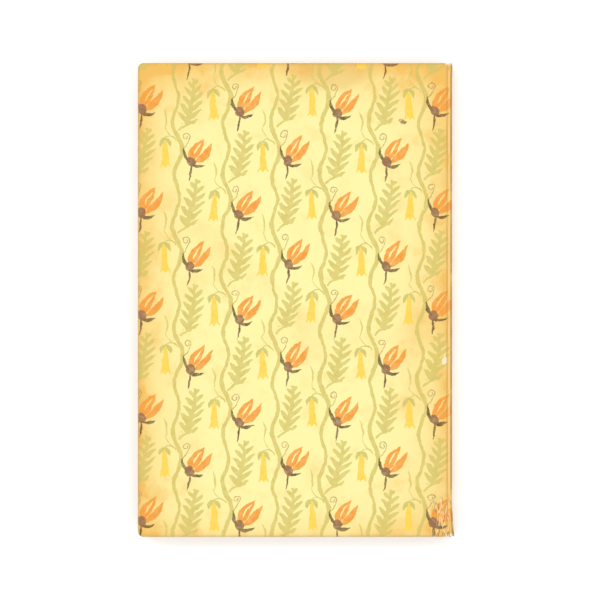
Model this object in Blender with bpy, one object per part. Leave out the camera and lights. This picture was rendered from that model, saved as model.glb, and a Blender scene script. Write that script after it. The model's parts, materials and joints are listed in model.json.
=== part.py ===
"""A small case-bound hardback book with paper-covered boards and a flat back.

It lies on its front cover, with its back cover up. X runs from the fore-edge (-X) to the spine (+X),
Y from the tail (-Y) to the head (+Y), and Z up. The origin is under the middle of the closed book.
Both halves are alike, so a piece is placed by its depth under the outer face of its own cover.
"""

import math

import bmesh
import bpy

MM = 0.001

# Closed book
BOOK_WIDTH = 120 * MM
BOOK_HEIGHT = 181 * MM
SQUARE = 2.5 * MM  # how far the boards stand proud of the leaves
CORNER_RADIUS = 2.0 * MM  # of a cover, seen from above

# Sheet and board thicknesses
COVER_PAPER = 0.20 * MM
BOARD = 1.60 * MM
ENDPAPER = 0.15 * MM
MULL = 0.16 * MM
LINING = 0.18 * MM
SPINE_CARD = 0.80 * MM
THREAD = 0.26 * MM

# Cover
TURN_IN = 15 * MM  # how far the cover paper is folded over onto the inside of a board
EDGE_RADIUS = 0.34 * MM  # of the paper where it goes round a board's edge
SPINE_RADIUS = 1.00 * MM  # of the paper where it goes round a corner of the spine
JOINT_WIDTH = 3.2 * MM  # bare paper between a board and the spine
SPINE_TURN = 1.9 * MM  # how far the spine's paper reaches over each joint
MULL_FLANGE = 20 * MM  # how far the mull reaches over the inside of a board

# Text block
SECTIONS = 5
SECTION = 0.85 * MM  # thickness of one folded and pressed section
LOOSE_LEAVES = 3  # leaves that turn at each end of the block: the flyleaf and the next two
STATIONS = 5  # places along the spine where the thread crosses the sections
END_STATION = 14 * MM  # from the block's head or tail to its nearest station

# Clearances
GAP = 0.03 * MM  # between glued layers
LEAF_GAP = 0.05 * MM  # between leaves that only lie on each other
HOLLOW = 0.20 * MM  # between the lined block and the spine's paper
JOINT_GAP = 0.10 * MM  # between the two papers that meet at a joint
HINGE_RISE = 0.02 * MM  # how far a joint's axis lies outside its cover
LEAF_ARM = 0.95 * MM  # from a leaf's axis to its edge
LEAF_AXIS_INSET = 0.90 * MM  # from the backs of the sections to a leaf's axis

ARC_STEPS = 6
RIM_STEPS = 3

# Depths under the outer face of a cover
BOARD_DEPTH = COVER_PAPER + GAP
TURN_IN_DEPTH = BOARD_DEPTH + BOARD + GAP
PASTEDOWN_DEPTH = TURN_IN_DEPTH + COVER_PAPER + GAP
LEAVES_DEPTH = PASTEDOWN_DEPTH + ENDPAPER + LEAF_GAP
LEAF_PITCH = ENDPAPER + LEAF_GAP
BLOCK_DEPTH = LEAVES_DEPTH + LOOSE_LEAVES * LEAF_PITCH
SECTION_PITCH = SECTION + LEAF_GAP
BOOK_THICKNESS = 2 * BLOCK_DEPTH + SECTIONS * SECTION_PITCH - LEAF_GAP

# Places along X, from the spine's outer face inwards
SPINE_X = BOOK_WIDTH / 2
FORE_X = -BOOK_WIDTH / 2
CARD_X = SPINE_X - COVER_PAPER - 2 * GAP
FLAP_X = CARD_X - SPINE_CARD - GAP
LINING_X = FLAP_X - COVER_PAPER - HOLLOW
MULL_X = LINING_X - LINING - GAP
THREAD_X = MULL_X - MULL - GAP
BACKS_X = THREAD_X - THREAD - GAP
SPINE_PAPER_X = SPINE_X - SPINE_TURN
COVER_END_X = SPINE_PAPER_X - JOINT_GAP
HINGE_X = SPINE_PAPER_X - JOINT_GAP / 2
BOARD_END_X = COVER_END_X - JOINT_WIDTH
LEAF_AXIS_X = BACKS_X - LEAF_AXIS_INSET
LEAF_END_X = LEAF_AXIS_X - LEAF_ARM
LEAF_FORE_X = FORE_X + SQUARE

HALF_HEIGHT = BOOK_HEIGHT / 2
LEAF_HALF = HALF_HEIGHT - SQUARE

COLOURS = {
    "cover_paper": ((0.90, 0.76, 0.42), 0.62),
    "board": ((0.42, 0.37, 0.29), 0.90),
    "endpaper": ((0.86, 0.79, 0.62), 0.80),
    "text_paper": ((0.84, 0.77, 0.60), 0.82),
    "mull": ((0.80, 0.77, 0.68), 0.95),
    "lining": ((0.50, 0.37, 0.22), 0.85),
    "thread": ((0.85, 0.82, 0.74), 0.90),
}


def clear_scene():
    for old in list(bpy.data.objects):
        bpy.data.objects.remove(old)


def material(node, finish):
    colour, roughness = COLOURS[finish]
    made = bpy.data.materials.new(node)
    made.use_nodes = True
    shader = made.node_tree.nodes["Principled BSDF"]
    shader.inputs["Base Color"].default_value = (*colour, 1)
    shader.inputs["Roughness"].default_value = roughness
    shader.inputs["Metallic"].default_value = 0
    return made


def axis_empty(name, x, z):
    """An empty on a joint's axis, which runs along Y."""
    empty = bpy.data.objects.new(name, None)
    empty.location = (x, 0, z)
    bpy.context.scene.collection.objects.link(empty)
    return empty


def add_object(name, shape, finish, pivot):
    """Makes an object of a bmesh drawn in the book's frame. Its origin is its pivot's."""
    bmesh.ops.translate(shape, verts=shape.verts, vec=[-c for c in pivot.location])
    bmesh.ops.recalc_face_normals(shape, faces=shape.faces)
    mesh = bpy.data.meshes.new(name)
    shape.to_mesh(mesh)
    shape.free()
    made = bpy.data.objects.new(name, mesh)
    made.parent = pivot
    bpy.context.scene.collection.objects.link(made)
    if finish:
        mesh.materials.append(material(name, finish))
    return made


def add_cutter(name, shape, pivot):
    cutter = add_object(name, shape, None, pivot)
    cutter.hide_render = True
    cutter.display_type = "WIRE"
    return cutter


def cut(target, cutter):
    modifier = target.modifiers.new(cutter.name, "BOOLEAN")
    modifier.operation = "DIFFERENCE"
    modifier.solver = "EXACT"
    modifier.object = cutter


def shade_round(target):
    target.data.shade_smooth()
    target.data.set_sharp_from_angle(angle=math.radians(35))


def arc(centre, radius, start, end, steps=ARC_STEPS):
    """Points of an arc between two angles in degrees, both ends included."""
    angles = (math.radians(start + (end - start) * i / steps) for i in range(steps + 1))
    return [(centre[0] + radius * math.cos(a), centre[1] + radius * math.sin(a)) for a in angles]


def extruded(outline, to_point, shift):
    """A closed solid: the outline, mapped into space by to_point, carried along shift."""
    shape = bmesh.new()
    face = shape.faces.new([shape.verts.new(to_point(p)) for p in outline])
    far = bmesh.ops.extrude_face_region(shape, geom=[face])
    moved = [v for v in far["geom"] if isinstance(v, bmesh.types.BMVert)]
    bmesh.ops.translate(shape, verts=moved, vec=shift)
    return shape


def slab(outline, low, high):
    """An outline in X and Y, from height low to high."""
    return extruded(outline, lambda p: (p[0], p[1], low), (0, 0, high - low))


def strip(profile, half_length):
    """A profile in X and Z, drawn along Y."""
    return extruded(profile, lambda p: (p[0], -half_length, p[1]), (0, 2 * half_length, 0))


def rectangle(left, right, half):
    return [(left, -half), (right, -half), (right, half), (left, half)]


def box_profile(left, right, low, high):
    return [(left, low), (right, low), (right, high), (left, high)]


def cover_outline(left, right, half, radius):
    """A rectangle whose two corners at the fore-edge are round."""
    head = arc((left + radius, half - radius), radius, 90, 180)
    tail = arc((left + radius, -half + radius), radius, 180, 270)
    return [(right, half), *head, *tail, (right, -half)]


class Side:
    """One half of the book: its name, its cover's axis, and heights by depth under its cover's face."""

    def __init__(self, name, face, inward):
        self.name = name
        self.face = face
        self.inward = inward
        self.axis = axis_empty(name + "_cover_axis", HINGE_X, face - inward * HINGE_RISE)

    def span(self, depth, thickness):
        """The lower and upper height of a layer that starts at this depth."""
        return sorted((self.face + self.inward * depth, self.face + self.inward * (depth + thickness)))


def cover_paper(side):
    """The printed paper: over the outside, round three edges of the board and onto its inside.

    Each ring is the cover's outline at one inset and depth, and the rings go once through the fold.
    """
    depth = TURN_IN_DEPTH + COVER_PAPER
    near, far = (EDGE_RADIUS, EDGE_RADIUS), (EDGE_RADIUS, depth - EDGE_RADIUS)
    fold = [
        *arc(near, EDGE_RADIUS, 270, 180, RIM_STEPS),
        *arc(far, EDGE_RADIUS, 180, 90, RIM_STEPS),
        (TURN_IN, depth),
        (TURN_IN, TURN_IN_DEPTH),
        (COVER_PAPER, TURN_IN_DEPTH),
        (COVER_PAPER, COVER_PAPER),
    ]
    shape = bmesh.new()
    rings = []
    for inset, down in fold:
        radius = max(CORNER_RADIUS - inset, CORNER_RADIUS / 4)
        outline = cover_outline(FORE_X + inset, COVER_END_X, HALF_HEIGHT - inset, radius)
        height = side.face + side.inward * down
        rings.append([shape.verts.new((x, y, height)) for x, y in outline])
    for ring, after in zip(rings, rings[1:]):
        for i in range(len(ring) - 1):
            shape.faces.new([ring[i], ring[i + 1], after[i + 1], after[i]])
    shape.faces.new(rings[0])
    shape.faces.new(rings[-1])
    shape.faces.new([ring[0] for ring in rings] + [ring[-1] for ring in reversed(rings)])
    shade_round(add_object(side.name + "_cover_paper", shape, "cover_paper", side.axis))


def cover_board(side):
    inset = COVER_PAPER + GAP
    outline = cover_outline(FORE_X + inset, BOARD_END_X, HALF_HEIGHT - inset, CORNER_RADIUS - inset)
    shape = slab(outline, *side.span(BOARD_DEPTH, BOARD))
    shade_round(add_object(side.name + "_board", shape, "board", side.axis))


def mull_flange(side):
    """The end of the mull that is glued to the board between the head and tail turn-ins."""
    half = HALF_HEIGHT - TURN_IN - JOINT_GAP
    outline = rectangle(BOARD_END_X - MULL_FLANGE, BOARD_END_X, half)
    layer = slab(outline, *side.span(TURN_IN_DEPTH, MULL))
    add_object(side.name + "_mull_flange", layer, "mull", side.axis)


def pastedown(side):
    outline = rectangle(LEAF_FORE_X, BOARD_END_X, LEAF_HALF)
    layer = slab(outline, *side.span(PASTEDOWN_DEPTH, ENDPAPER))
    add_object(side.name + "_pastedown", layer, "endpaper", side.axis)


def loose_leaf(side, number):
    """A leaf that turns. Number 0 is the flyleaf, and the others lie under it."""
    low, high = side.span(LEAVES_DEPTH + number * LEAF_PITCH, ENDPAPER)
    name = side.name + ("_leaf_" + str(number) if number else "_flyleaf")
    axis = axis_empty(name + "_axis", LEAF_AXIS_X, (low + high) / 2)
    outline = rectangle(LEAF_FORE_X, LEAF_END_X, LEAF_HALF)
    add_object(name, slab(outline, low, high), "text_paper" if number else "endpaper", axis)


def section(number, base):
    """A sewn section: its fold is round and its three other edges are trimmed."""
    low = BLOCK_DEPTH + number * SECTION_PITCH
    radius = SECTION / 2
    fold = arc((BACKS_X - radius, low + radius), radius, -90, 90, 2 * ARC_STEPS)
    profile = [(LEAF_FORE_X, low), *fold, (LEAF_FORE_X, low + SECTION)]
    made = add_object("section_" + str(number + 1), strip(profile, LEAF_HALF), "text_paper", base)
    shade_round(made)


def stitch(number, base):
    """The thread where it crosses the backs of the sections, at one station."""
    low = BLOCK_DEPTH + SECTION / 2
    first = END_STATION - LEAF_HALF
    place = first * (1 - 2 * number / (STATIONS - 1))
    shape = bmesh.new()
    bmesh.ops.create_cone(
        shape,
        cap_ends=True,
        segments=2 * ARC_STEPS,
        radius1=THREAD / 2,
        radius2=THREAD / 2,
        depth=BOOK_THICKNESS - 2 * low,
    )
    centre = (THREAD_X - THREAD / 2, place, BOOK_THICKNESS / 2)
    bmesh.ops.translate(shape, verts=shape.verts, vec=centre)
    shade_round(add_object("sewing_stitch_" + str(number + 1), shape, "thread", base))


def block_back(name, outer_x, thickness, finish, base):
    """A layer glued along the backs of the sections."""
    profile = box_profile(outer_x - thickness, outer_x, BLOCK_DEPTH, BOOK_THICKNESS - BLOCK_DEPTH)
    add_object(name, strip(profile, LEAF_HALF), finish, base)


def spine_profile(left, inset):
    """The round-cornered outline of the spine in X and Z, this far inside its paper's outer face.

    The corners are no rounder than the paper and card are thick.
    """
    radius = min(SPINE_RADIUS, COVER_PAPER + SPINE_CARD) - inset
    right, high = SPINE_X - inset, BOOK_THICKNESS - inset
    lower = arc((right - radius, inset + radius), radius, -90, 0)
    upper = arc((right - radius, high - radius), radius, 0, 90)
    return [(left, inset), *lower, *upper, (left, high)]


def spine_card(base):
    """The card that stiffens the spine. It is bowed round only at its long edges."""
    inset = COVER_PAPER + 2 * GAP
    outline = spine_profile(CARD_X - SPINE_CARD, inset)
    shade_round(add_object("spine_card", strip(outline, HALF_HEIGHT - inset), "board", base))


def spine_paper(base):
    """The printed paper round the spine card, folded in at its head and tail."""
    name = "spine_cover_paper"
    paper = add_object(name, strip(spine_profile(SPINE_PAPER_X, 0), HALF_HEIGHT), "cover_paper", base)

    high = BOOK_THICKNESS - COVER_PAPER
    behind = strip(box_profile(0, FLAP_X - COVER_PAPER, COVER_PAPER, high), BOOK_HEIGHT)
    cut(paper, add_cutter(name + "_behind", behind, base))

    pocket = strip(spine_profile(FLAP_X, COVER_PAPER + GAP), HALF_HEIGHT - COVER_PAPER)
    cut(paper, add_cutter(name + "_pocket", pocket, base))

    rim = COVER_PAPER + 2 * GAP
    opening = box_profile(FLAP_X - 2 * COVER_PAPER, FLAP_X + GAP / 2, rim, BOOK_THICKNESS - rim)
    window = strip(opening, HALF_HEIGHT - TURN_IN)
    cut(paper, add_cutter(name + "_window", window, base))
    shade_round(paper)


def build():
    clear_scene()
    base = axis_empty("text_block_base", 0, 0)
    for side in (Side("front", 0, 1), Side("back", BOOK_THICKNESS, -1)):
        cover_paper(side)
        cover_board(side)
        mull_flange(side)
        pastedown(side)
        for number in range(LOOSE_LEAVES):
            loose_leaf(side, number)
    for number in range(SECTIONS):
        section(number, base)
    for number in range(STATIONS):
        stitch(number, base)
    block_back("spine_mull", MULL_X, MULL, "mull", base)
    block_back("spine_lining", LINING_X, LINING, "lining", base)
    spine_card(base)
    spine_paper(base)


build()
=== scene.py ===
"""A small hardback book, looked at from straight above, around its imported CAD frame.

The printed paper is modelled again with its folds, cockles and worn places, the sections are modelled
again as folded sheets, and every piece gets a procedural material. Lengths are in metres, except in the
print, which is drawn in millimetres on the flat sheet before it goes round the boards.
"""

import json
import math
import random

import bmesh
import bpy
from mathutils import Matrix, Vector, noise


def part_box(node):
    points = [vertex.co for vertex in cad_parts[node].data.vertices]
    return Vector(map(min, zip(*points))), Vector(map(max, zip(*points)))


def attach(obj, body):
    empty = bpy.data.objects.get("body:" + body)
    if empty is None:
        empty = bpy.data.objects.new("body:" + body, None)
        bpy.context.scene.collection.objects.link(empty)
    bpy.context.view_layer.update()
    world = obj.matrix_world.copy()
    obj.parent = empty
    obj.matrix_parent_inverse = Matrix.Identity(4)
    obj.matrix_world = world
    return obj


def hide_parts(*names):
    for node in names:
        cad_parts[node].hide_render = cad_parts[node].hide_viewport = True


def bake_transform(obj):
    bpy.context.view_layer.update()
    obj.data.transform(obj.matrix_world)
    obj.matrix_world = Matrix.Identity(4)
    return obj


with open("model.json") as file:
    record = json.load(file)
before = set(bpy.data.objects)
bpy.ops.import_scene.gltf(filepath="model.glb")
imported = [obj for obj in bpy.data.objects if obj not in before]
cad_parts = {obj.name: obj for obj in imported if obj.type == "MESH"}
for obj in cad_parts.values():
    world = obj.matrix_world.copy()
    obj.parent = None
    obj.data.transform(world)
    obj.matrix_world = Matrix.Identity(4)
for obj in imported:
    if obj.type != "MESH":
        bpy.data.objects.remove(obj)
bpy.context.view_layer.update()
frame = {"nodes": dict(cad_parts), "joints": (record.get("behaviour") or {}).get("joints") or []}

MM = 0.001
SEED = 7

# Places read from the frame
COVER_LOW, COVER_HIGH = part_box("back_cover_paper")
BOARD_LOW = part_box("back_board")[0]
SPINE_LOW, SPINE_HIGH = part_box("spine_cover_paper")
CARD_LOW, CARD_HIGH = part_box("spine_card")

TOP = COVER_HIGH.z  # the closed book's thickness
FORE_X = COVER_LOW.x
COVER_END_X = COVER_HIGH.x
SPINE_X = SPINE_HIGH.x
FLANGE_X = SPINE_LOW.x
HALF_HEIGHT = COVER_HIGH.y
WRAP_DEPTH = COVER_HIGH.z - COVER_LOW.z
JOINTS = {joint["name"]: joint for joint in frame["joints"]}
HINGE_X = JOINTS["back_cover_open"]["pos_m"][0]

# The printed paper
FIT = 0.01 * MM  # left free between the paper and the board
PAPER = BOARD_LOW.x - FORE_X - FIT
TURN_IN = 15 * MM  # how far it is folded over onto a board's inner side
CORNER = 2.0 * MM  # radius of the cover's corners, seen from above
RIM = 0.34 * MM  # radius of the fold over an edge
SPINE_ROUND = 1.0 * MM  # radius of the spine's two long edges
COCKLE = 0.05 * MM  # how far the paper stands off its board
CRUMPLE = 0.3 * MM  # how far it does at the spine's tail
CHIP_AT_TAIL = 0.010  # how deep the spine's paper is chipped, as a share of half its height
CHIP_AT_HEAD = 0.004

# The spine's path over the sheet, from its back flange to its front one
FLANGE = SPINE_X - SPINE_ROUND - FLANGE_X
SPINE_PATH = 2 * FLANGE + math.pi * SPINE_ROUND + TOP - 2 * SPINE_ROUND
SHEET_MIDDLE = FLANGE_X + SPINE_PATH / 2

# The sheet where it bends in a joint
STRIP_REACH = 0.7 * MM  # to each side of the hinge
STRIP_DEPTHS = (PAPER + 0.03 * MM, PAPER + 0.09 * MM)  # of its two sides, under the cover's face
STRIP_SHORT = 0.6 * MM  # what it lacks at the head, and again at the tail

# The pages
SQUARE = 2.5 * MM  # how far the boards reach past them
SHEETS = 4  # folded sheets in a section
SHEET_SHARE = 0.86  # how much of a leaf's room is paper, the rest being air
TRIM_FORE = 0.22 * MM  # how unevenly the sheets are cut at the fore-edge
TRIM_END = 0.16 * MM  # and at the head and tail

# The faces of the meshes
GRID = 3 * MM  # size of the cover's faces
SPINE_STATIONS = 90  # cuts along the spine
STRIP_CUTS = (14, 60)  # across and along a joint's strip
ARC_STEPS = 8
RIM_STEPS = 5
SHARP = math.radians(35)  # edges that turn more than this stay sharp
TINY = 1e-7  # a length that counts as none

# The studio
BRIGHTNESS = 1.31  # the studio's light, against light that shows a colour as it is
WORLD_LIGHT = 1.15
FLOOR_DROP = 0.1 * MM  # keeps the floor clear of the cover's face
VIEW_WIDTH = 0.2273  # what the frame takes in at the height of the cover
VIEW_MIDDLE = (0.95 * MM, 0.95 * MM)  # what the camera looks straight down at
CAMERA_HEIGHT = 1.3
SENSOR = 36

UV_SCALE = 10  # sheet coordinates are kept in tenths of a metre
SHEET_MAP = "sheet"


# ---------------------------------------------------------------- shader maths


class Field:
    """A number at each place of a surface: a socket of the node tree that is being built."""

    tree = None

    def __init__(self, socket):
        self.socket = socket

    def __add__(self, other):
        return maths("ADD", self, other)

    def __sub__(self, other):
        return maths("SUBTRACT", self, other)

    def __rsub__(self, other):
        return maths("SUBTRACT", other, self)

    def __mul__(self, other):
        return maths("MULTIPLY", self, other)

    def __truediv__(self, other):
        return maths("DIVIDE", self, other)

    def __neg__(self):
        return maths("MULTIPLY", self, -1)

    def __abs__(self):
        return maths("ABSOLUTE", self)

    __radd__ = __add__
    __rmul__ = __mul__


def plug(value, socket):
    """Feeds a number, a colour or a field to a socket."""
    if isinstance(value, Field):
        Field.tree.links.new(value.socket, socket)
    else:
        socket.default_value = value


def maths(operation, *values, clamp=False):
    """One step of arithmetic on fields and numbers."""
    node = Field.tree.nodes.new("ShaderNodeMath")
    node.operation = operation
    node.use_clamp = clamp
    for value, socket in zip(values, node.inputs):
        plug(value, socket)
    return Field(node.outputs[0])


def lowest(first, *others):
    for other in others:
        first = maths("MINIMUM", first, other)
    return first


def highest(first, *others):
    for other in others:
        first = maths("MAXIMUM", first, other)
    return first


def wrapped(value, low, high):
    """The value, repeated from low to high."""
    return maths("WRAP", value, high, low)


def length(x, y):
    return maths("SQRT", x * x + y * y)


def clamped(value):
    """The value, kept from 0 to 1."""
    return maths("ADD", value, 0, clamp=True)


def fall(distance, reach):
    """1 at no distance, and less and less further away."""
    return maths("EXPONENT", -(highest(distance, 0) / reach))


def vector(x, y, z):
    node = Field.tree.nodes.new("ShaderNodeCombineXYZ")
    for value, socket in zip((x, y, z), node.inputs):
        plug(value, socket)
    return Field(node.outputs[0])


def split(field):
    node = Field.tree.nodes.new("ShaderNodeSeparateXYZ")
    Field.tree.links.new(field.socket, node.inputs[0])
    return [Field(socket) for socket in node.outputs]


def noise_field(place, scale, detail=2.0, rough=0.5, colour=False):
    """Cloudy noise about 0.5. With colour, three such noises that split() takes apart."""
    node = Field.tree.nodes.new("ShaderNodeTexNoise")
    plug(place, node.inputs["Vector"])
    node.inputs["Scale"].default_value = scale
    node.inputs["Detail"].default_value = detail
    node.inputs["Roughness"].default_value = rough
    return Field(node.outputs["Color" if colour else "Fac"])


def spots(place, scale, low, high):
    """1 in the middle of scattered round spots and 0 between them."""
    node = Field.tree.nodes.new("ShaderNodeTexVoronoi")
    plug(place, node.inputs["Vector"])
    node.inputs["Scale"].default_value = scale
    return ramp(Field(node.outputs["Distance"]), high, low)


def ramp(value, low, high):
    """0 at low and 1 at high, smoothly. low may be the larger."""
    node = Field.tree.nodes.new("ShaderNodeMapRange")
    node.interpolation_type = "SMOOTHSTEP"
    plug(value, node.inputs["Value"])
    node.inputs["From Min"].default_value = min(low, high)
    node.inputs["From Max"].default_value = max(low, high)
    node.inputs["To Min"].default_value = 1 if low > high else 0
    node.inputs["To Max"].default_value = 0 if low > high else 1
    return Field(node.outputs["Result"])


def linear(colour):
    """The linear RGBA that is seen as this sRGB colour of 0 to 255 in the studio's bright light."""
    shares = [c / 255 for c in colour]
    flat = [s / 12.92 if s <= 0.04045 else ((s + 0.055) / 1.055) ** 2.4 for s in shares]
    return (*(c / BRIGHTNESS for c in flat), 1)


def mixed(share, first, second):
    """The first colour where share is 0, and the second where it is 1."""
    node = Field.tree.nodes.new("ShaderNodeMix")
    node.data_type = "RGBA"
    plug(share, node.inputs[0])
    for value, socket in ((first, node.inputs[6]), (second, node.inputs[7])):
        plug(value if isinstance(value, Field) else linear(value), socket)
    return Field(node.outputs[2])


def new_material(name):
    """A material with its tree ready for fields. Returns it and its shader."""
    made = bpy.data.materials.new(name)
    made.use_nodes = True
    Field.tree = made.node_tree
    return made, made.node_tree.nodes["Principled BSDF"]


def surface(shader, colour, roughness, height, strength, distance):
    """Sets a shader's colour and roughness, and its bump: a height, how strong it is and how high."""
    plug(colour, shader.inputs["Base Color"])
    plug(roughness, shader.inputs["Roughness"])
    node = Field.tree.nodes.new("ShaderNodeBump")
    node.inputs["Strength"].default_value = strength
    node.inputs["Distance"].default_value = distance
    plug(height, node.inputs["Height"])
    Field.tree.links.new(node.outputs["Normal"], shader.inputs["Normal"])


def sheet_place():
    """Where a place of the printed paper was on the flat sheet, in millimetres."""
    node = Field.tree.nodes.new("ShaderNodeUVMap")
    node.uv_map = SHEET_MAP
    across, up, _ = split(Field(node.outputs[0]))
    return across * (1 / UV_SCALE / MM), up * (1 / UV_SCALE / MM)


def object_place():
    """Where a place is in its own object, in metres."""
    return Field(Field.tree.nodes.new("ShaderNodeTexCoord").outputs["Object"])


# ---------------------------------------------------------------- drawing on the sheet, in millimetres


# A shape is a distance: below 0 inside it, 0 at its edge and above 0 outside it.


def turned(x, y, degrees):
    """The place in axes that are turned by this much."""
    cos, sin = math.cos(math.radians(degrees)), math.sin(math.radians(degrees))
    return x * cos + y * sin, y * cos - x * sin


def ellipse(x, y, centre, radii, turn=0):
    along, across = turned(x - centre[0], y - centre[1], turn)
    return (length(along / radii[0], across / radii[1]) - 1) * min(radii)


def from_line(x, y, start, end):
    """Distances along and across the line from start to end, and its length."""
    run, rise = end[0] - start[0], end[1] - start[1]
    along, across = turned(x - start[0], y - start[1], math.degrees(math.atan2(rise, run)))
    return along, across, math.hypot(run, rise)


def blade(x, y, start, end, half_width, bow=0.0, root=0.6, tip=0.8):
    """A leaf-shaped stroke, pointed at both ends. Root and tip say how slowly it widens from each."""
    along, across, long = from_line(x, y, start, end)
    share = maths("MULTIPLY", along, 1 / long, clamp=True)
    rest = 1 - share
    peak = (root / (root + tip)) ** root * (tip / (root + tip)) ** tip
    width = maths("POWER", share, root) * maths("POWER", rest, tip) * (half_width / peak)
    beyond = highest(-along, along - long, 0)
    return abs(across - share * rest * (4 * bow)) - width + beyond


def stroke(x, y, start, end, half_width, bow=0.0):
    """A line of even width, bowed to one side."""
    along, across, long = from_line(x, y, start, end)
    share = maths("MULTIPLY", along, 1 / long, clamp=True)
    beyond = highest(-along, along - long, 0)
    return length(across - share * (1 - share) * (4 * bow), beyond) - half_width


def arc_stroke(x, y, centre, radius, half_width, start, end):
    """Part of a ring between two angles in degrees."""
    along, across = turned(x - centre[0], y - centre[1], (start + end) / 2)
    turn = abs(maths("ARCTAN2", across, along)) - math.radians(abs(end - start) / 2)
    return highest(abs(length(along, across) - radius) - half_width, turn * radius)


COLUMN = 18.7  # from one stem to the next
REPEAT = 39.4  # from one bud to the next below it
FIRST_STEM = -45.1  # where one stem stands on the sheet
FIRST_BUD = 13.4  # how high a bud stands beside it
WAVE = 19.7  # length of a stem's wave
LOWEST = -27.4  # where the drawing of one bud and its plants ends
INK_EDGE = 0.16  # over which the ink fades at a shape's edge

INKS = {
    "stem": (206, 187, 88),
    "leaf": (206, 190, 94),
    "sepal": (198, 187, 94),
    "bell": (250, 208, 62),
    "petal": (240, 152, 42),
    "heart": (146, 103, 66),
    "base": (98, 66, 14),
    "line": (172, 138, 74),
}


def stems(x, y):
    """Wavy stems, each a little thinner and thicker along its way."""
    column = maths("ROUND", x / COLUMN)
    phase = (y + column * (REPEAT / 2)) * (2 * math.pi / WAVE)
    sway = maths("SINE", phase) * 1.35 + maths("SINE", phase * 0.5 + 1.1) * 0.55
    swell = maths("SINE", phase * 0.5 + 0.4) * 0.15
    return abs(x - column * COLUMN - sway) - 0.76 - swell


def sprig(x, y):
    """A feathered leaf: pairs of leaflets, set a half step apart, on a bending rib."""
    long, pitch = 17.4, 3.35
    down = -7.2 - y
    share = maths("MULTIPLY", down, 1 / long, clamp=True)
    rib = 6.9 - share * 2.2 + maths("SINE", share * 5.0) * 0.45
    off = x - rib
    reach = abs(off)
    right = maths("GREATER_THAN", off, 0)
    envelope = maths("POWER", share * (1.1 - share), 0.38) * 6.9 + 0.05
    row = wrapped(down + reach * 0.85 + right * (pitch * 0.45), -pitch / 2, pitch / 2)
    fullness = 1 - maths("POWER", reach / envelope, 4.0)
    leaflets = abs(row) * 0.76 - fullness * (0.7 + share * 0.36)
    leaflets = highest(leaflets, -(down + 0.6), down - long, reach - envelope)
    stalk = highest(reach - 0.4 - share * 0.75, -down, down - long)
    foot = stroke(x, y, (4.9, -24.6), (1.0, -27.0), 0.42, -0.4)
    return lowest(leaflets, stalk, foot)


def tendrils(x, y):
    """A thin hanging leaf and the hair that goes on from its tip."""
    upper = blade(x, y, (13.6, 0.2), (14.0, -7.4), 0.34, 0.9)
    lower = stroke(x, y, (14.0, -7.0), (18.4, -11.6), 0.16, -0.7)
    return lowest(upper, lower)


def sepals(x, y):
    """Two small leaves over a hanging flower, and the stalk that arches to the stem."""
    left = blade(x, y, (14.1, -11.3), (12.0, -14.8), 0.75, -0.45)
    right = blade(x, y, (14.1, -11.3), (16.2, -14.8), 0.75, 0.45)
    stalk = arc_stroke(x, y, (16.0, -13.2), 2.7, 0.19, 15, 150)
    return lowest(left, right, stalk)


def bell(x, y):
    """A plain hanging bell, the same on both sides, with a scalloped rim."""
    long, axis = 10.2, 14.1
    down = -12.4 - y
    share = maths("MULTIPLY", down, 1 / long, clamp=True)
    off = abs(x - axis)
    width = 0.7 + maths("SINE", share * 1.9) * 0.6 + maths("POWER", share, 6) * 0.7
    scallop = maths("COSINE", off * 3.4) * 0.45
    return highest(off - width, -down, down - long - scallop)


def petals(x, y):
    """A bud's two petals, one in front with a pale vein, and one that opens beside it."""
    front = blade(x, y, (4.7, 0.4), (10.6, 9.2), 2.0, 0.3, 0.6, 1.0)
    vein = blade(x, y, (6.2, 2.6), (9.4, 7.4), 0.34, 0.25)
    side = blade(x, y, (6.2, -0.8), (13.4, 7.4), 1.35, -0.9, 0.8, 1.0)
    return lowest(highest(front, -vein), side)


def bud_base(x, y):
    """The dark leaves that hold a bud, and its stalk."""
    left = blade(x, y, (4.6, -0.6), (2.4, 5.2), 0.62, 0.75)
    right = blade(x, y, (4.6, -1.6), (10.4, -1.2), 0.62, -0.8)
    stalk = blade(x, y, (4.9, -1.4), (4.0, -8.0), 0.42, 0.4)
    return lowest(left, right, stalk)


def curl(x, y):
    """A tendril that leaves the stem and winds up."""
    line = stroke(x, y, (2.0, 4.6), (4.7, 8.7), 0.17, -0.5)
    outer = arc_stroke(x, y, (3.8, 9.5), 1.2, 0.18, -40, 215)
    inner = arc_stroke(x, y, (3.5, 9.3), 0.7, 0.17, 205, 400)
    return lowest(line, outer, inner)


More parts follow.
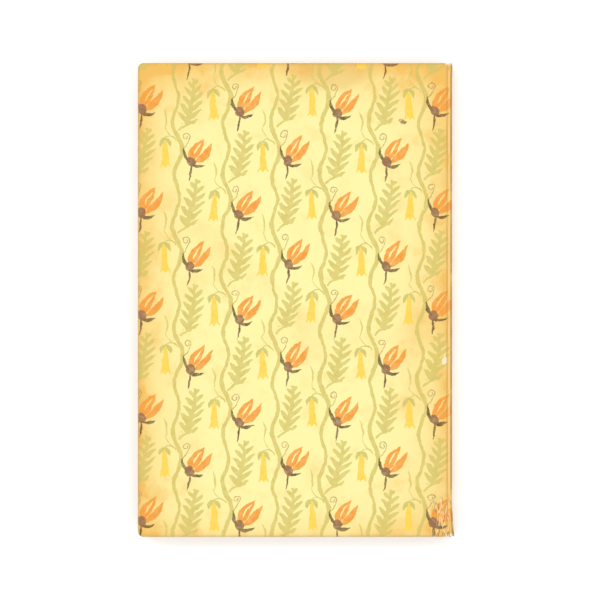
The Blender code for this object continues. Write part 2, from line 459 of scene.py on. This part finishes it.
def print_on(colour, x, y):
    """The paper's colour with the print over it. Returns it and how much ink there is."""
    # The drawing is moved about slowly by drift and finely by wobble, so that no two repeats are the same
    drift = noise_field(vector(x * 0.03, y * 0.03, 0.0), 1.0, 1.0, colour=True)
    drift_x, drift_y, _ = split(drift)
    wobble = noise_field(vector(x * 0.3, y * 0.3, 5.0), 1.0, 2.0, colour=True)
    wobble_x, wobble_y, _ = split(wobble)
    x = x + (drift_x - 0.5) * 2.4 + (wobble_x - 0.5) * 1.5 - FIRST_STEM
    y = y + (drift_y - 0.5) * 3.0 + (wobble_y - 0.5) * 1.5 - FIRST_BUD
    stem_shapes = stems(x, y)

    # Every second column stands half a repeat lower
    column = maths("FLOOR", x / COLUMN)
    odd = maths("MODULO", abs(column), 2)
    y = y - odd * (REPEAT / 2) + maths("SINE", column * 2.4) * 0.9
    here = x - column * COLUMN
    down = wrapped(y, LOWEST, LOWEST + REPEAT)
    grain = noise_field(vector(x, y, 0.0), 1.7, 3.0)
    wash = noise_field(vector(x, y, 9.0), 0.45, 3.0)
    rough = (grain - 0.5) * 0.45

    layers = [
        ("stem", stem_shapes, 0.78),
        ("leaf", lowest(sprig(here, down), tendrils(here, down)), 0.8),
        ("bell", bell(here, down), 0.92),
        ("sepal", sepals(here, down), 0.85),
        ("petal", petals(here, down), 0.95),
        ("base", bud_base(here, down), 0.9),
        ("heart", ellipse(here, down, (5.0, -0.3), (1.75, 1.95), 20), 0.95),
        ("line", curl(here, down), 0.8),
    ]
    # Each ink goes over the ones before it, thinner where the paper's grain and the wash say so
    inked = None
    for ink, distance, strength in layers:
        cover = maths("MULTIPLY_ADD", distance + rough, -1 / INK_EDGE, 0.5, clamp=True)
        patchy = clamped(cover * strength * (1.55 - grain * 0.45 - wash * 0.75))
        colour = mixed(patchy, colour, INKS[ink])
        inked = cover if inked is None else highest(inked, cover)
    return colour, inked


def printed_paper():
    """Cream paper with the print, toned towards its edges, stained, rubbed and foxed, with painted shade in
    the joint's crease, the tail's folds and on the spine's rounded edges, and painted highlights beside the
    folds.
    """
    made, shader = new_material("printed_paper")
    x, y = sheet_place()
    place = vector(x * 0.01, y * 0.01, 0.0)

    # How far inside the fore-edge, the head and the tail, and past the joint towards the fore-edge
    from_middle = abs(x - SHEET_MIDDLE / MM)
    fore = (SHEET_MIDDLE - FORE_X) / MM - from_middle
    head, tail = HALF_HEIGHT / MM - y, HALF_HEIGHT / MM + y
    joint = from_middle - (SHEET_MIDDLE - HINGE_X) / MM
    ends = lowest(head, tail)

    # Browned margins, and a stain by the head
    cloud = noise_field(place, 3.0, 4.0, 0.6)
    blotch = noise_field(place, 9.0, 5.0, 0.65)
    sides = fall(fore, 8.0) * 0.95 + fall(head, 8.0) * 0.95 + fall(tail, 6.0) * 0.5
    strip = fall(joint, 9.0) * 0.85
    smudge = ramp(blotch, 0.5, 0.68) * 0.22 + ramp(cloud, 0.48, 0.75) * 0.35
    tone = clamped((sides + strip) * (0.35 + blotch * 1.2) + smudge)
    paper = mixed(tone, (251, 241, 165), (239, 187, 87))
    stain = ellipse(x, y, (14, 90), (17, 9)) + (blotch - 0.5) * 9
    paper = mixed(ramp(stain, 2.5, -2.5) * 0.45, paper, (226, 178, 92))

    colour, inked = print_on(paper, x, y)

    # A brown splash, a pale scuff, foxing and specks
    splash = ellipse(x, y, (41, 68), (1.1, 1.0)) + (noise_field(place, 60.0, 3.0) - 0.5) * 3.0
    colour = mixed(ramp(splash, 0.1, -0.2) * 0.8, colour, (140, 82, 40))
    scuff = ellipse(x, y, (57.2, -23), (1.0, 1.7)) + (noise_field(place, 70.0, 3.0) - 0.5) * 2.0
    colour = mixed(ramp(scuff, 0.2, -0.2) * 0.75, colour, (254, 240, 208))
    fox = spots(place, 22.0, 0.02, 0.07) * ramp(blotch, 0.52, 0.62)
    colour = mixed(fox * 0.5, colour, (200, 150, 84))
    speck = spots(vector(x * 0.01 + 3.0, y * 0.01, 0.0), 55.0, 0.03, 0.09) * ramp(cloud, 0.6, 0.68)
    colour = mixed(speck * 0.6, colour, (150, 105, 60))

    # Rubbed edges and corners, worn ends of the joint, and painted shade along the crease of the joint
    rubbed = fall(lowest(ends, fore), 0.45) * (0.35 + blotch * 0.6)
    colour = mixed(clamped(rubbed), colour, (176, 136, 84))
    wear = highest(fall(ends, 2.4) * fall(joint, 2.0), fall(ends, 0.8) * fall(fore, 1.2))
    wear = ramp(wear + (noise_field(place, 90.0, 5.0, 0.7) - 0.5) * 1.5, 0.6, 0.7)
    colour = mixed(wear * 0.85, colour, (252, 240, 214))
    # painted shade: a thin darker line along the joint's crease
    painted_crease_shade = fall(abs(joint + 0.1), 0.22) * (0.3 + blotch * 0.5)
    colour = mixed(clamped(painted_crease_shade), colour, (205, 160, 92))

    # The spine's long edges: a pale ridge, and painted shade on each rounded edge and, fainter, on the
    # spine's side beyond it, in patches along its length
    bend = from_middle - (TOP / 2 - SPINE_ROUND) / MM
    ridge = fall(abs(bend - 1.75), 0.25) * ramp(blotch, 0.42, 0.62) * 0.6
    colour = mixed(clamped(ridge), colour, (253, 234, 184))
    # painted shade: darker where the spine's edge rounds away from above, fainter on its side, patchy along
    # its length
    painted_edge_shade = ramp(bend, 1.45, 0.95) * ramp(noise_field(vector(0.0, y * 0.07, 2.0), 1.0, 4.0), 0.28, 0.48)
    painted_edge_shade = painted_edge_shade * (0.35 + ramp(bend, -2.0, 0.2) * 0.65)
    colour = mixed(clamped(painted_edge_shade * (0.3 + blotch * 0.75)), colour, (140, 98, 54))

    # Folds at the tail of the joint, and a few at its head, with painted shade in their dark lines and a
    # painted highlight beside each
    crumple = ramp(tail, 19.0, 10.0) * ramp(joint, 8.0, 3.0) + fall(head, 3.0) * fall(joint, 2.0) * 0.6
    folds = noise_field(vector(x * 0.6, y * 0.09, 0.0), 1.0, 2.5, 0.6)
    # painted shade in the folds' dark lines
    painted_fold_shade = ramp(abs(folds - 0.5), 0.03, 0.0) * clamped(crumple)
    # painted highlight beside each fold
    painted_fold_highlight = ramp(abs(folds - 0.56), 0.035, 0.0) * clamped(crumple)
    colour = mixed(painted_fold_highlight * 0.6, colour, (255, 240, 196))
    colour = mixed(painted_fold_shade * 0.7, colour, (128, 84, 44))

    fibre = noise_field(place, 350.0, 4.0, 0.6)
    roughness = 0.62 + (fibre - 0.5) * 0.2 - inked * 0.08 + wear * 0.15
    relief = fibre * 0.3 + blotch * 0.5 - wear * 0.9 + inked * 0.08 - painted_fold_shade * 1.5 + painted_fold_highlight
    surface(shader, colour, roughness, relief, 0.35, 0.12 * MM)
    shader.inputs["Specular IOR Level"].default_value = 0.35
    return made


def greyboard():
    """Dense grey-brown board of short fibres and flecks."""
    made, shader = new_material("greyboard")
    place = object_place()
    fibre = noise_field(place, 900.0, 5.0, 0.7)
    cloud = noise_field(place, 60.0, 3.0)
    colour = mixed(fibre, (128, 116, 98), (166, 152, 130))
    colour = mixed(ramp(cloud, 0.4, 0.7) * 0.4, colour, (142, 122, 94))
    flecks = spots(place, 420.0, 0.08, 0.2) * ramp(cloud, 0.45, 0.6)
    colour = mixed(flecks * 0.6, colour, (92, 80, 66))
    surface(shader, colour, 0.82 + fibre * 0.15, fibre + flecks * 0.4, 0.5, 0.2 * MM)
    return made


def plain_paper(name, light, dark, foxed, laid):
    """Uncoated paper, browner towards its edges. laid is how strongly the mould's lines show."""
    made, shader = new_material(name)
    place = object_place()
    x, y, _ = split(place)
    edge = lowest(x - (FORE_X + SQUARE), HALF_HEIGHT - SQUARE - abs(y)) / MM
    cloud = noise_field(place, 28.0, 4.0, 0.6)
    fibre = noise_field(place, 1400.0, 4.0, 0.65)
    tone = clamped(fall(edge, 7.0) * (0.4 + cloud * 0.8) + ramp(cloud, 0.5, 0.8) * 0.25)
    colour = mixed(tone, light, dark)
    colour = mixed(fibre * 0.25, colour, dark)
    fox = spots(place, 90.0, 0.03, 0.12) * ramp(cloud, 0.5, 0.62)
    colour = mixed(fox * foxed, colour, (186, 132, 74))
    lines = maths("SINE", y * (2 * math.pi / (1.1 * MM))) * laid
    surface(shader, colour, 0.78 + (fibre - 0.5) * 0.15, fibre * 0.6 + lines, 0.35, 0.1 * MM)
    shader.inputs["Specular IOR Level"].default_value = 0.3
    return made


def page_edges():
    """The sections' paper: cream on the sheets' faces, browner on the trimmed edges."""
    made, shader = new_material("page_paper")
    place = object_place()
    x, y, z = split(place)
    edge = lowest(x - (FORE_X + SQUARE), HALF_HEIGHT - SQUARE - abs(y)) / MM
    streak = noise_field(vector(x * 40, y * 40, z * 4000), 1.0, 3.0)
    cloud = noise_field(place, 40.0, 3.0)
    fibre = noise_field(place, 1600.0, 3.0)
    tone = clamped(fall(edge, 1.6) * (0.55 + cloud * 0.5))
    colour = mixed(streak, (238, 224, 186), (224, 206, 162))
    colour = mixed(tone * (0.5 + streak * 0.5), colour, (202, 172, 118))
    fox = spots(place, 160.0, 0.04, 0.14) * ramp(cloud, 0.52, 0.64)
    colour = mixed(fox * 0.5, colour, (176, 128, 76))
    surface(shader, colour, 0.8 + (fibre - 0.5) * 0.15, fibre * 0.5 + streak, 0.4, 0.12 * MM)
    return made


def woven(name, light, dark, pitch, strength):
    """Threads that pass over and under each other, with the gaps between them dark."""
    made, shader = new_material(name)
    place = object_place()
    x, y, z = split(place)
    waver = (noise_field(place, 120.0, 2.0) - 0.5) * (0.5 * pitch)
    warp = maths("SINE", (x + z + waver) * (2 * math.pi / pitch))
    weft = maths("SINE", (y + waver) * (2 * math.pi / pitch))
    over = highest(abs(warp), abs(weft))
    fibre = noise_field(place, 2600.0, 3.0)
    colour = mixed(clamped(over * over), dark, light)
    colour = mixed(fibre * 0.3, colour, dark)
    relief = over + warp * weft * 0.3 + fibre * 0.2
    surface(shader, colour, 0.85 + fibre * 0.1, relief, strength, 0.15 * MM)
    return made


def kraft():
    """Brown kraft paper with long fibres and a dull gleam of glue."""
    made, shader = new_material("kraft_lining")
    place = object_place()
    x, y, z = split(place)
    fibre = noise_field(vector(x * 3000, y * 250, z * 900), 1.0, 4.0, 0.65)
    glue = noise_field(place, 180.0, 3.0)
    colour = mixed(fibre, (150, 112, 68), (184, 146, 98))
    colour = mixed(ramp(glue, 0.55, 0.75) * 0.4, colour, (120, 82, 44))
    surface(shader, colour, 0.8 - ramp(glue, 0.55, 0.7) * 0.3, fibre, 0.4, 0.1 * MM)
    return made


def twisted_thread():
    """Waxed linen thread: strands that wind round it."""
    made, shader = new_material("linen_thread")
    place = object_place()
    x, y, z = split(place)
    strand = maths("SINE", z * (2 * math.pi / (0.5 * MM)) + (x + y) * (9.0 / MM))
    fibre = noise_field(place, 4000.0, 3.0)
    colour = mixed(abs(strand), (178, 160, 122), (226, 214, 184))
    colour = mixed(fibre * 0.3, colour, (168, 148, 108))
    surface(shader, colour, 0.6 + fibre * 0.2, strand * 0.7 + fibre * 0.3, 0.6, 0.1 * MM)
    return made


# ---------------------------------------------------------------- meshes


def arc(centre, radius, start, end, steps=ARC_STEPS):
    """Points of part of a circle between two angles in degrees."""
    angles = (math.radians(start + (end - start) * i / steps) for i in range(steps + 1))
    return [(centre[0] + radius * math.cos(a), centre[1] + radius * math.sin(a)) for a in angles]


def cover_outline(inset):
    """A cover's outline from above, this far in from its edge, open at the spine."""
    left, half = FORE_X + inset, HALF_HEIGHT - inset
    radius = max(CORNER - inset, CORNER / 4)
    head = arc((left + radius, half - radius), radius, 90, 180)
    tail = arc((left + radius, -half + radius), radius, 180, 270)
    return [(COVER_END_X, half), *head, *tail, (COVER_END_X, -half)]


def lay_out(shape, sheet_of):
    """Keeps where each corner of each face lay on the flat sheet. sheet_of tells it for a vertex."""
    layer = shape.loops.layers.uv.new(SHEET_MAP)
    for face in shape.faces:
        for loop in face.loops:
            u, v = sheet_of(loop.vert)
            loop[layer].uv = (u * UV_SCALE, v * UV_SCALE)


def join_rings(shape, rings):
    """Faces between closed rings of vertices, from each ring to the next."""
    for ring, after in zip(rings, rings[1:]):
        for i in range(len(ring)):
            k = (i + 1) % len(ring)
            shape.faces.new([ring[i], ring[k], after[k], after[i]])


def add_piece(name, shape, finish, body):
    """Makes a piece of a bmesh. It rides on the body, if one is named."""
    bmesh.ops.recalc_face_normals(shape, faces=shape.faces)
    mesh = bpy.data.meshes.new(name)
    shape.to_mesh(mesh)
    shape.free()
    mesh.materials.append(finish)
    mesh.shade_smooth()
    mesh.set_sharp_from_angle(angle=SHARP)
    made = bpy.data.objects.new(name, mesh)
    bpy.context.scene.collection.objects.link(made)
    if body:
        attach(made, body)
    return made


def from_core(x, y):
    """The way to this place from the nearest one that is a corner's radius inside a cover's outline."""
    core_x = max(x, FORE_X + CORNER)
    core_y = max(-HALF_HEIGHT + CORNER, min(HALF_HEIGHT - CORNER, y))
    return x - core_x, y - core_y


def outward(x, y):
    """The direction out of a cover's outline at this place, seen from above."""
    away = Vector(from_core(x, y))
    if away.length > TINY:
        return away.normalized()
    if x - FORE_X < HALF_HEIGHT - abs(y):
        return Vector((-1, 0))
    return Vector((0, 1 if y > 0 else -1))


def inside_by(x, y):
    """How far inside a cover's outline this place is."""
    away = math.hypot(*from_core(x, y))
    if away > TINY:
        return CORNER - away
    return min(x - FORE_X, HALF_HEIGHT - abs(y))


def on_sheet(x, y, depth):
    """Where a point of a wrapped cover lay on the flat sheet, as if it were the back cover."""
    inset = inside_by(x, y)
    if depth < WRAP_DEPTH / 2:
        past = depth - inset
    else:
        past = depth + inset if inset > RIM else depth - inset
    flat = Vector((x, y)) + outward(x, y) * (past + inset)
    return flat.x, flat.y


def cockle(x, y):
    """How far the paper stands off the board: slow waves, and finer ones by the spine's tail."""
    slow = noise.noise(Vector((x * 38, y * 30, SEED)))
    fine = noise.noise(Vector((x * 300, y * 120, SEED + 3)))
    from_joint = COVER_END_X - x
    by_tail = math.exp(-(HALF_HEIGHT + y) / (12 * MM)) * math.exp(-from_joint / (8 * MM))
    room = min(1.0, from_joint / (3 * MM))  # the joint stays free to turn
    return room * (COCKLE * (0.5 + 0.5 * slow) + CRUMPLE * by_tail * max(0.0, 0.45 + fine))


def wrapped_cover(name, body, face_height, inward, finish):
    """A cover's printed paper: its face, the folds round three edges, and the turn-ins."""
    shape = bmesh.new()
    far = (RIM, WRAP_DEPTH - RIM)
    fold = [
        *arc((RIM, RIM), RIM, 270, 180, RIM_STEPS),
        *arc(far, RIM, 180, 90, RIM_STEPS),
        (TURN_IN, WRAP_DEPTH),
        (TURN_IN, WRAP_DEPTH - PAPER),
        (PAPER, WRAP_DEPTH - PAPER),
        (PAPER, PAPER),
    ]
    rings = []
    for inset, depth in fold:
        height = face_height + inward * depth
        rings.append([shape.verts.new((x, y, height)) for x, y in cover_outline(inset)])
    for ring, after in zip(rings, rings[1:]):
        for i in range(len(ring) - 1):
            shape.faces.new([ring[i], ring[i + 1], after[i + 1], after[i]])
    shape.faces.new(rings[0])
    shape.faces.new(rings[-1])
    shape.faces.new([ring[0] for ring in rings] + [ring[-1] for ring in reversed(rings)])
    for low, high, axis in ((FORE_X, COVER_END_X, 0), (-HALF_HEIGHT, HALF_HEIGHT, 1)):
        count = round((high - low) / GRID)
        for i in range(1, count):
            place, normal = [0, 0, 0], [0, 0, 0]
            place[axis] = low + (high - low) * i / count
            normal[axis] = 1
            geometry = [*shape.verts, *shape.edges, *shape.faces]
            bmesh.ops.bisect_plane(shape, geom=geometry, dist=TINY, plane_co=place, plane_no=normal)

    def sheet_of(vert):
        u, v = on_sheet(vert.co.x, vert.co.y, abs(vert.co.z - face_height))
        return (u if inward < 0 else 2 * SHEET_MIDDLE - u), v

    lay_out(shape, sheet_of)
    for vert in shape.verts:
        depth = abs(vert.co.z - face_height)
        if inward < 0 and depth < PAPER / 2:
            away = min(1.0, max(0.0, inside_by(vert.co.x, vert.co.y) / (2 * MM)))
            vert.co.z -= inward * cockle(vert.co.x, vert.co.y) * away
    return add_piece(name, shape, finish, body)


def spine_path():
    """Points of the spine's outer face in X and Z, from the back flange round to the front one."""
    upper = arc((SPINE_X - SPINE_ROUND, TOP - SPINE_ROUND), SPINE_ROUND, 90, 0)
    lower = arc((SPINE_X - SPINE_ROUND, SPINE_ROUND), SPINE_ROUND, 0, -90)
    face = [(SPINE_X, TOP - SPINE_ROUND + (2 * SPINE_ROUND - TOP) * i / 6) for i in range(1, 6)]
    return [(FLANGE_X, TOP), *upper, *face, *lower, (FLANGE_X, 0)]


def wrapped_spine(finish):
    """The spine's paper: round at its long edges, bumped and chipped at its head and tail."""
    path = spine_path()
    inner = spine_path_inset(path, PAPER - FIT)
    run = [0.0]
    for a, b in zip(path, path[1:]):
        run.append(run[-1] + math.dist(a, b))
    shape = bmesh.new()
    sheet = {}
    rings = []
    for i in range(SPINE_STATIONS + 1):
        y = -HALF_HEIGHT + 2 * HALF_HEIGHT * (i / SPINE_STATIONS)
        ring = []
        for k, (x, z) in enumerate(path + inner[::-1]):
            step = k if k < len(path) else 2 * len(path) - 1 - k
            place = y
            if i in (0, SPINE_STATIONS):
                place *= 1 - chip(run[step], i == 0)
            vert = shape.verts.new((x + bumped(y) * (x - FLANGE_X) / (SPINE_X - FLANGE_X), place, z))
            sheet[vert] = (FLANGE_X + run[step], place)
            ring.append(vert)
        rings.append(ring)
    join_rings(shape, rings)
    for ring in (rings[0], rings[-1]):
        for i in range(len(path) - 1):
            shape.faces.new([ring[i], ring[i + 1], ring[-2 - i], ring[-1 - i]])
    lay_out(shape, sheet.get)
    return add_piece("spine_wrap", shape, finish, "text_block")


def spine_path_inset(path, depth):
    """The path's inner side: the flanges and the face move in, and the bends keep their centres."""
    inner = []
    for x, z in path:
        centre_x = min(x, SPINE_X - SPINE_ROUND)
        centre_z = max(SPINE_ROUND, min(TOP - SPINE_ROUND, z))
        away = Vector((x - centre_x, z - centre_z))
        if x <= centre_x + TINY:
            inner.append((x, z - depth if z > TOP / 2 else z + depth))
        else:
            shorter = away.normalized() * (away.length - depth)
            inner.append((centre_x + shorter.x, centre_z + shorter.y))
    return inner


def chip(run, at_tail):
    """What is missing of the paper's end at this place of the spine's path, as a share of half its height."""
    deep = CHIP_AT_TAIL if at_tail else CHIP_AT_HEAD
    ragged = noise.noise(Vector((run * 900, SEED + at_tail, 0.5)))
    return deep * max(0.0, ragged + 0.1)


def bumped(y):
    """How far the spine's end is knocked outwards."""
    ragged = 0.8 + 0.5 * noise.noise(Vector((y * 500, 0, SEED)))
    at_tail = math.exp(-(((HALF_HEIGHT + y) / (7 * MM)) ** 2)) * ragged
    at_head = math.exp(-(((HALF_HEIGHT - y) / (3 * MM)) ** 2)) * 0.25
    return (at_tail + at_head) * MM


def spine_turn_in(name, end, finish):
    """The paper folded over one end of the spine's card: end is 1 at the head and -1 at the tail."""
    left = CARD_LOW.x - 0.03 * MM - PAPER  # clear of the card
    edge, card_edge = HALF_HEIGHT - 0.05 * MM, CARD_HIGH.y + 0.02 * MM
    low = SPINE_ROUND - 0.25 * MM  # between the bends of the spine's paper
    outline = [
        (left, HALF_HEIGHT - TURN_IN),
        *arc((left + RIM, edge - RIM), RIM, 180, 90, RIM_STEPS),
        (CARD_HIGH.x, edge),
        (CARD_HIGH.x, card_edge),
        (left + PAPER, card_edge),
        (left + PAPER, HALF_HEIGHT - TURN_IN),
    ]
    shape = bmesh.new()
    rings = [[shape.verts.new((x, end * y, z)) for x, y in outline] for z in (low, TOP - low)]
    join_rings(shape, rings)
    for ring in rings:
        shape.faces.new(ring)

    def sheet_of(vert):
        x, y, z = vert.co
        past = HALF_HEIGHT - abs(y) + CARD_HIGH.x - x
        return SHEET_MIDDLE + TOP / 2 - z, end * (HALF_HEIGHT + past)

    lay_out(shape, sheet_of)
    return add_piece(name, shape, finish, "text_block")


def joint_strip(side, height, inward, finish):
    """The sheet where it bends in a joint, under the cover's edge and the spine's flange."""
    left, right = HINGE_X - STRIP_REACH, HINGE_X + STRIP_REACH
    half = HALF_HEIGHT - STRIP_SHORT
    columns, rows = STRIP_CUTS
    across = [left + (right - left) * i / columns for i in range(columns + 1)]
    along = [-half + 2 * half * k / rows for k in range(rows + 1)]
    levels = [height + inward * depth for depth in STRIP_DEPTHS]
    shape = bmesh.new()
    grids = [[[shape.verts.new((x, y, z)) for x in across] for y in along] for z in levels]
    for grid in grids:
        for low, high in zip(grid, grid[1:]):
            for i in range(columns):
                shape.faces.new([low[i], low[i + 1], high[i + 1], high[i]])
    upper, lower = grids
    for k in range(rows):
        for i in (0, columns):
            shape.faces.new([upper[k][i], upper[k + 1][i], lower[k + 1][i], lower[k][i]])
    for k in (0, rows):
        for i in range(columns):
            shape.faces.new([upper[k][i], upper[k][i + 1], lower[k][i + 1], lower[k][i]])

    def sheet_of(vert):
        return (vert.co.x if inward < 0 else 2 * SHEET_MIDDLE - vert.co.x), vert.co.y

    lay_out(shape, sheet_of)
    piece = add_piece(side + "_joint_strip", shape, finish, None)
    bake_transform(piece)


def sheet_profile(fore, low, high, back, thickness):
    """A folded sheet in X and Z: a thin U that lies on its side, its fold at the spine."""
    middle, radius = (low + high) / 2, (high - low) / 2
    inner = radius - thickness
    outer_arc = arc((back - radius, middle), radius, -90, 90)
    profile = [(fore, low), *outer_arc, (fore, high), (fore, high - thickness)]
    if inner > thickness / 4:
        profile += arc((back - radius, middle), inner, 90, -90)
        profile.append((fore, low + thickness))
    return profile


def section_sheets(number, finish, dice):
    """A sewn section: folded sheets, one inside another, each trimmed a hair differently."""
    node = f"section_{number}"
    low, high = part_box(node)
    leaf = (high.z - low.z) / (2 * SHEETS)
    thickness = leaf * SHEET_SHARE
    shape = bmesh.new()
    for i in range(SHEETS):
        inset = i * leaf
        fore = low.x + dice.uniform(0, TRIM_FORE)
        head = high.y - dice.uniform(0, TRIM_END)
        tail = low.y + dice.uniform(0, TRIM_END)
        profile = sheet_profile(fore, low.z + inset, high.z - inset, high.x - inset, thickness)
        add_prism(shape, profile, tail, head)
    piece = add_piece(node + "_sheets", shape, finish, "text_block")
    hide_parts(node)


def add_prism(shape, profile, low, high):
    """A closed solid: a profile in X and Z drawn along Y."""
    ends = [[shape.verts.new((x, y, z)) for x, z in profile] for y in (low, high)]
    join_rings(shape, ends)
    for ring in ends:
        shape.faces.new(ring)


# ---------------------------------------------------------------- the book


def dress(nodes, finish):
    """Gives pieces of the CAD frame their material."""
    for name in nodes:
        node = frame["nodes"][name]
        for slot in node.material_slots:
            slot.material = finish
        node.data.shade_smooth()
        node.data.set_sharp_from_angle(angle=SHARP)


def build_book():
    """Every piece that is seen: the remade ones, and then the CAD's own with their materials."""
    paper = printed_paper()
    back = wrapped_cover("back_cover_wrap", "back_cover", TOP, -1, paper)
    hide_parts("back_cover_paper")
    front = wrapped_cover("front_cover_wrap", "front_cover", 0, 1, paper)
    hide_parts("front_cover_paper")
    spine = wrapped_spine(paper)
    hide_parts("spine_cover_paper")
    spine_turn_in("spine_turn_in_head", 1, paper)
    spine_turn_in("spine_turn_in_tail", -1, paper)
    joint_strip("back", TOP, -1, paper)
    joint_strip("front", 0, 1, paper)

    pages = page_edges()
    dice = random.Random(SEED)
    for number in range(1, 6):
        section_sheets(number, pages, dice)

    dress(["front_board", "back_board", "spine_card"], greyboard())
    ends = plain_paper("endpaper", (240, 228, 192), (214, 188, 138), 0.7, 0.5)
    dress(["front_pastedown", "back_pastedown", "front_flyleaf", "back_flyleaf"], ends)
    leaves = plain_paper("leaf_paper", (238, 226, 190), (216, 194, 148), 0.45, 0.0)
    dress([f"{side}_leaf_{i}" for side in ("front", "back") for i in (1, 2)], leaves)
    gauze = woven("mull_gauze", (214, 206, 182), (150, 134, 98), 0.9 * MM, 0.9)
    dress(["front_mull_flange", "back_mull_flange", "spine_mull"], gauze)
    dress(["spine_lining"], kraft())
    dress([f"sewing_stitch_{i}" for i in range(1, 6)], twisted_thread())


def add_light(name, place, aim, size, power, colour):
    """A round light that faces the place it aims at."""
    light = bpy.data.lights.new(name, "AREA")
    light.shape = "DISK"
    light.size = size
    light.energy = power
    light.color = colour
    made = bpy.data.objects.new(name, light)
    made.location = place
    made.rotation_euler = (Vector(aim) - Vector(place)).to_track_quat("-Z", "Y").to_euler()
    bpy.context.scene.collection.objects.link(made)


def build_stage():
    """A white floor, and even bright light from all round."""
    scene = bpy.context.scene
    scene.view_settings.view_transform = "Standard"
    bpy.ops.mesh.primitive_plane_add(size=6, location=(0, 0, -FLOOR_DROP))
    floor = bpy.context.object
    floor.name = "floor"
    made, shader = new_material("pale_floor")
    shader.inputs["Base Color"].default_value = (0.97, 0.97, 0.965, 1)
    shader.inputs["Roughness"].default_value = 0.8
    floor.data.materials.append(made)

    world = bpy.data.worlds.new("studio")
    world.use_nodes = True
    world.node_tree.nodes["Background"].inputs["Color"].default_value = (1, 1, 1, 1)
    world.node_tree.nodes["Background"].inputs["Strength"].default_value = WORLD_LIGHT
    scene.world = world
    add_light("key", (-0.5, 0.7, 1.2), (0, 0, 0), 0.9, 4.5, (1, 0.99, 0.97))
    add_light("fill", (0.7, -0.4, 1.3), (0, 0, 0), 1.2, 3.0, (1, 1, 1))


def build_camera():
    """A camera that looks straight down on the closed book."""
    camera = bpy.data.cameras.new("camera")
    camera.sensor_width = SENSOR
    camera.lens = SENSOR * CAMERA_HEIGHT / VIEW_WIDTH
    made = bpy.data.objects.new("camera", camera)
    made.location = (*VIEW_MIDDLE, TOP + CAMERA_HEIGHT)
    bpy.context.scene.collection.objects.link(made)
    bpy.context.scene.camera = made


build_camera()
build_book()
build_stage()
